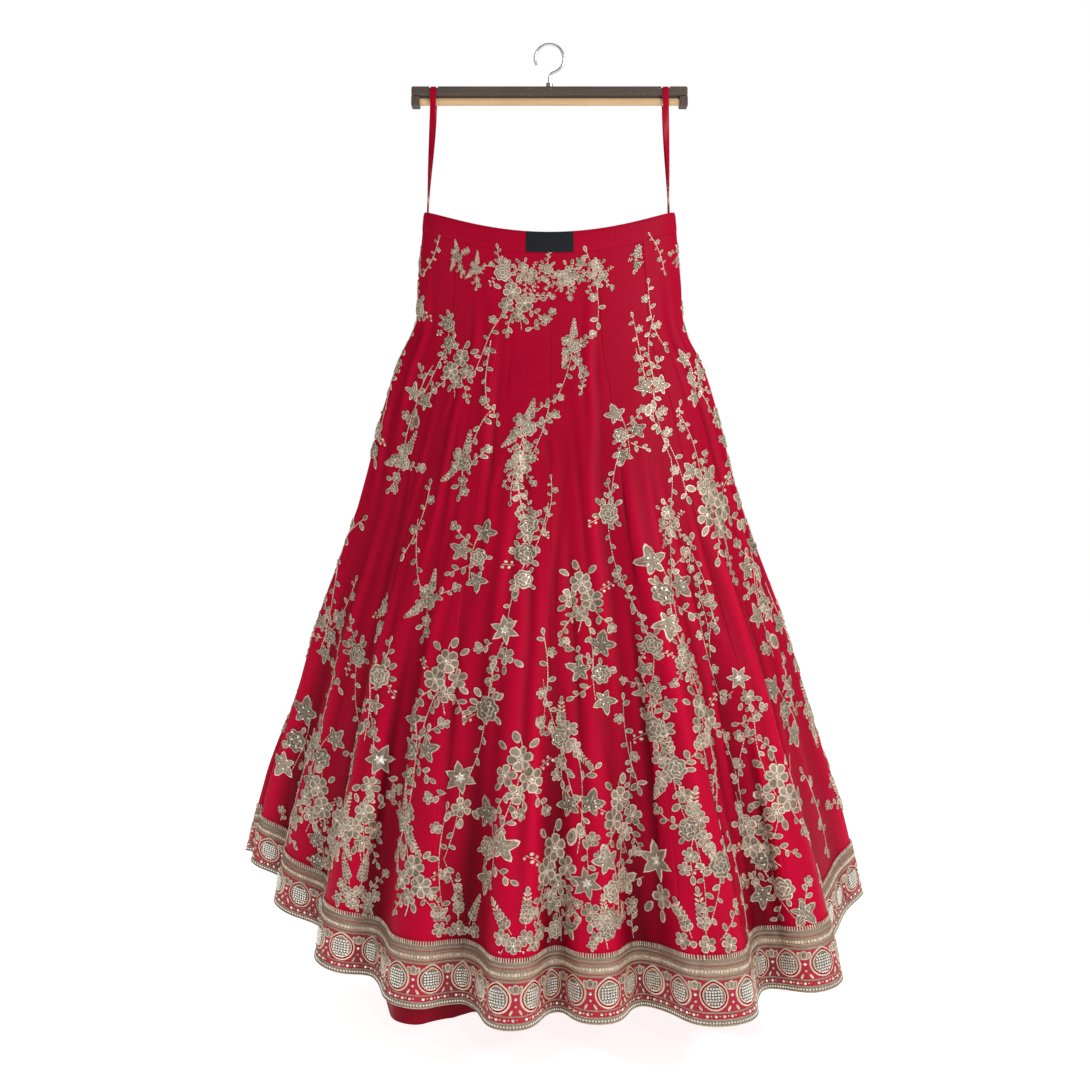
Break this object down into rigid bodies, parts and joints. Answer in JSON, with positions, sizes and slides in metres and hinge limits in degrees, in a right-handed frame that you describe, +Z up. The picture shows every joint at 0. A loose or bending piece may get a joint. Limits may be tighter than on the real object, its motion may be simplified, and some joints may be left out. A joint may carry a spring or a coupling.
{
  "type": "lehenga skirt on a hanger",
  "caption": "Flared panelled skirt with floral metal-thread embroidery and a wide scalloped-medallion hem border, hung by ribbon loops from a straight hanger.",
  "frame": {"origin": "underside of the hook's top, where it rests on a rail", "axes": "+Z up, the skirt's front faces -Y, +X runs along the hanger bar to the viewer's right"},
  "size_m": [0.9173, 0.4903, 1.3353],
  "materials": {
    "crimson_silk": "slubbed raw silk with a soft sheen, embroidered in antique gold",
    "antique_zari": "metal-thread embroidery and sequins, antique gold",
    "red_lining": "plain satin lining",
    "red_ribbon": "satin ribbon",
    "charcoal_satin": "plain woven satin tag",
    "dark_wood": "dark weathered wood",
    "pale_wood": "natural smooth wood",
    "steel": "bright wire"
  },
  "bodies": {
    "root": {"hanger_bar": "dark_wood", "hanger_hook": "steel", "hanger_rod": "pale_wood", "hem_border_back": "antique_zari", "hem_border_front": "antique_zari", "hook_ferrule": "steel", "kali_back_1": "crimson_silk", "kali_back_2": "crimson_silk", "kali_back_3": "crimson_silk", "kali_back_4": "crimson_silk", "kali_back_5": "crimson_silk", "kali_back_6": "crimson_silk", "kali_front_1": "crimson_silk", "kali_front_2": "crimson_silk", "kali_front_3": "crimson_silk", "kali_front_4": "crimson_silk", "kali_front_5": "crimson_silk", "kali_front_6": "crimson_silk", "lining_back_1": "red_lining", "lining_back_2": "red_lining", "lining_back_3": "red_lining", "lining_back_4": "red_lining", "lining_back_5": "red_lining", "lining_back_6": "red_lining", "lining_front_1": "red_lining", "lining_front_2": "red_lining", "lining_front_3": "red_lining", "lining_front_4": "red_lining", "lining_front_5": "red_lining", "lining_front_6": "red_lining", "maker_label": "charcoal_satin", "ribbon_loop_left": "red_ribbon", "ribbon_loop_right": "red_ribbon", "rod_holder_left": "dark_wood", "rod_holder_right": "dark_wood", "side_placket": "red_lining", "waist_bar": "steel", "waist_hook": "steel", "waist_tab": "red_lining", "waistband_back": "crimson_silk", "waistband_front": "crimson_silk"}
  },
  "joints": []
}
